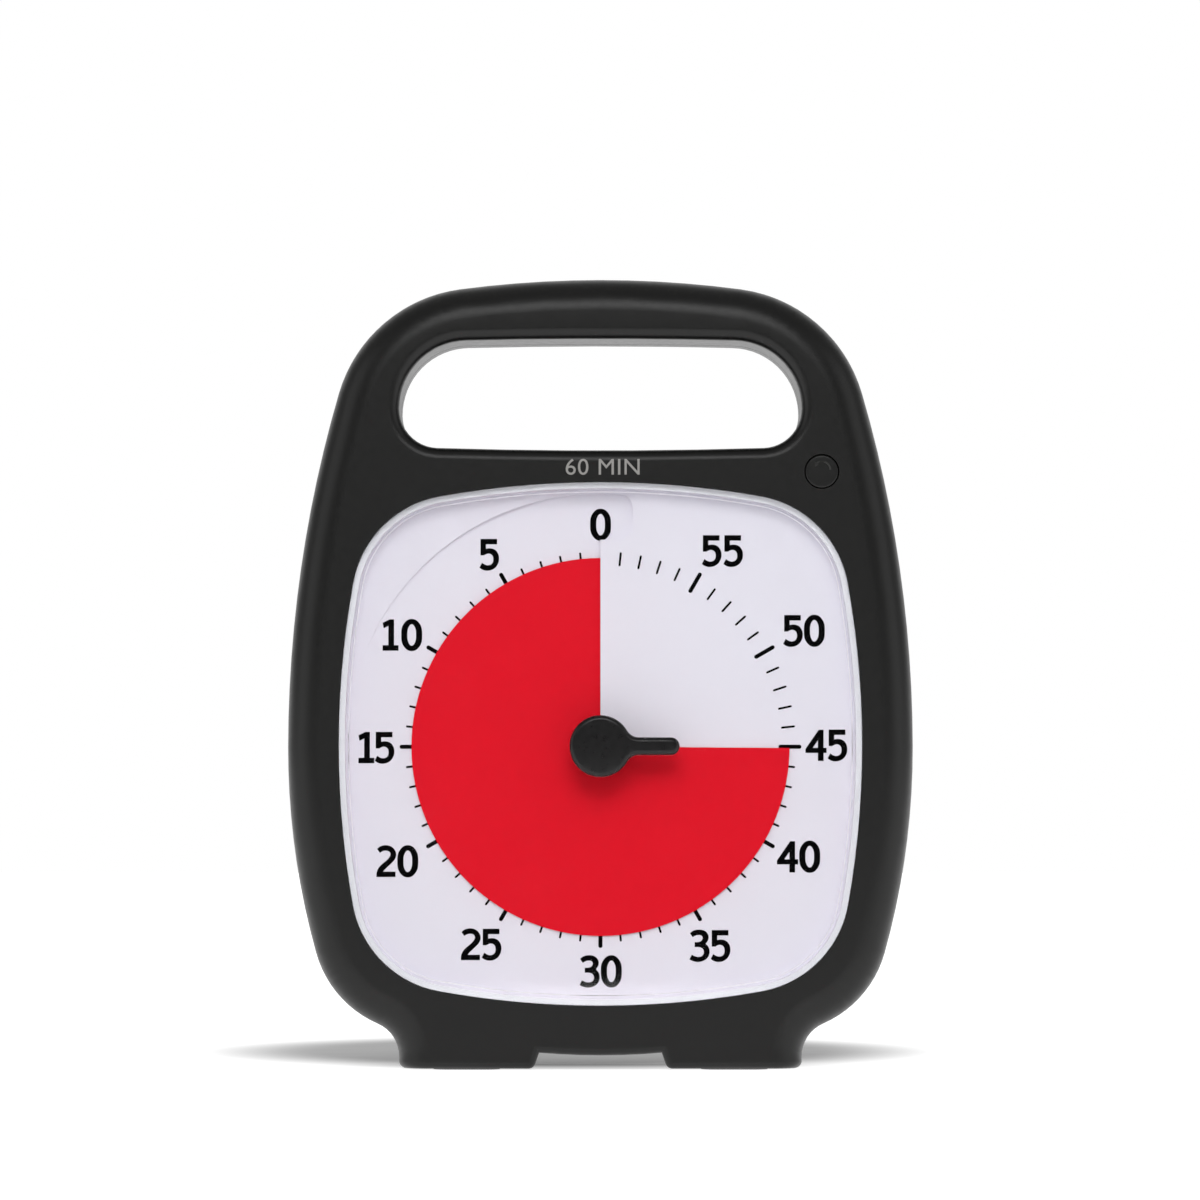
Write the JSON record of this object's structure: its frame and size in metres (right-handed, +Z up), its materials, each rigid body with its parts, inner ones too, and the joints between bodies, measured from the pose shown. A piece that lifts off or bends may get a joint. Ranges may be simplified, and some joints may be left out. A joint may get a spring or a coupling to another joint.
{
  "type": "visual countdown timer",
  "caption": "Free-standing visual countdown timer with a carrying handle: a knob winds a red disc out of a slit in a ramped white dial behind a clear lens.",
  "frame": {"origin": "middle of the footprint, on the surface that the foot pads stand on", "axes": "+X to the right as the dial is read, +Z up, the dial faces -Y"},
  "size_m": [0.1412, 0.0478, 0.1786],
  "materials": {
    "housing": "black soft-touch moulded housing, fine grain",
    "trim_black": "smooth black moulded plastic",
    "lens": "clear polished acrylic",
    "seal": "white foam ring",
    "dial": "white matt dial plastic",
    "red": "red satin sheet",
    "knob": "satin black knob",
    "rubber": "black rubber",
    "steel": "zinc-plated steel",
    "brass": "turned brass",
    "gear": "natural acetal",
    "case": "black movement case",
    "copper": "lacquered copper winding",
    "board": "green circuit board",
    "chip": "black epoxy",
    "cell": "plain sleeved cell",
    "magnet": "ferrite magnet with moulded pinion"
  },
  "bodies": {
    "root": {"front_housing": "housing", "rear_housing": "housing", "housing_screws": "steel", "foot_pads": "rubber", "lens": "lens", "lens_seal": "seal", "dial_tray": "dial", "dial_screws": "steel", "spindle_bushing": "brass", "bushing_nut": "brass", "bridge_plate": "steel", "bridge_screws": "steel", "movement_case_front": "case", "movement_case_back": "case", "motor_stator": "steel", "motor_coil": "copper", "push_switch": "chip", "circuit_board": "board", "board_screws": "steel", "timer_chip": "chip", "capacitor": "cell", "volume_control": "case", "speaker": "case", "speaker_grille": "housing", "battery": "cell", "battery_spring": "steel", "battery_contact": "steel"},
    "knob_body": {"knob": "knob", "spindle": "steel", "centre_wheel": "gear", "clutch_spring": "steel"},
    "disc": {"red_disc": "red", "disc_hub": "trim_black"},
    "idler": {"idler_gear": "gear"},
    "motor_rotor": {"rotor": "magnet"},
    "button": {"reset_button": "housing", "switch_plunger": "trim_black"},
    "volume": {"volume_wheel": "trim_black"},
    "door": {"battery_door": "housing"}
  },
  "joints": [
    {"name": "knob_turn", "type": "hinge", "parent": "root", "child": "knob_body", "pos_m": [0, 0, 0.07275], "axis": [0, -1, 0], "range_deg": [-270, 90]},
    {"name": "disc_lift", "type": "slide", "parent": "knob_body", "child": "disc", "axis": [0, -1, 0], "range_m": [-0.00112, 0.00038]},
    {"name": "idler_turn", "type": "hinge", "parent": "root", "child": "idler", "pos_m": [-0.01326, 0, 0.05949], "axis": [0, -1, 0], "range_deg": [-360, 1080]},
    {"name": "rotor_turn", "type": "hinge", "parent": "root", "child": "motor_rotor", "pos_m": [0.00084, 0, 0.05436], "axis": [0, -1, 0], "range_deg": [-3240, 1080]},
    {"name": "button_press", "type": "slide", "parent": "root", "child": "button", "axis": [0, 1, 0], "range_m": [0, 0.0008], "stiffness_N_per_m": 800, "springref_m": -0.0005},
    {"name": "volume_turn", "type": "hinge", "parent": "root", "child": "volume", "pos_m": [0.03, 0.012, 0.116], "axis": [0, 1, 0], "range_deg": [-150, 150]},
    {"name": "battery_door_open", "type": "hinge", "parent": "root", "child": "door", "pos_m": [0, 0.02175, 0.01234], "axis": [-1, 0, 0], "range_deg": [0, 100]}
  ],
  "couplings": [
    {"joint": "disc_lift", "follows": "knob_turn", "m_per_rad": 0.00023873},
    {"joint": "idler_turn", "follows": "knob_turn", "ratio": -4},
    {"joint": "rotor_turn", "follows": "knob_turn", "ratio": 12}
  ]
}
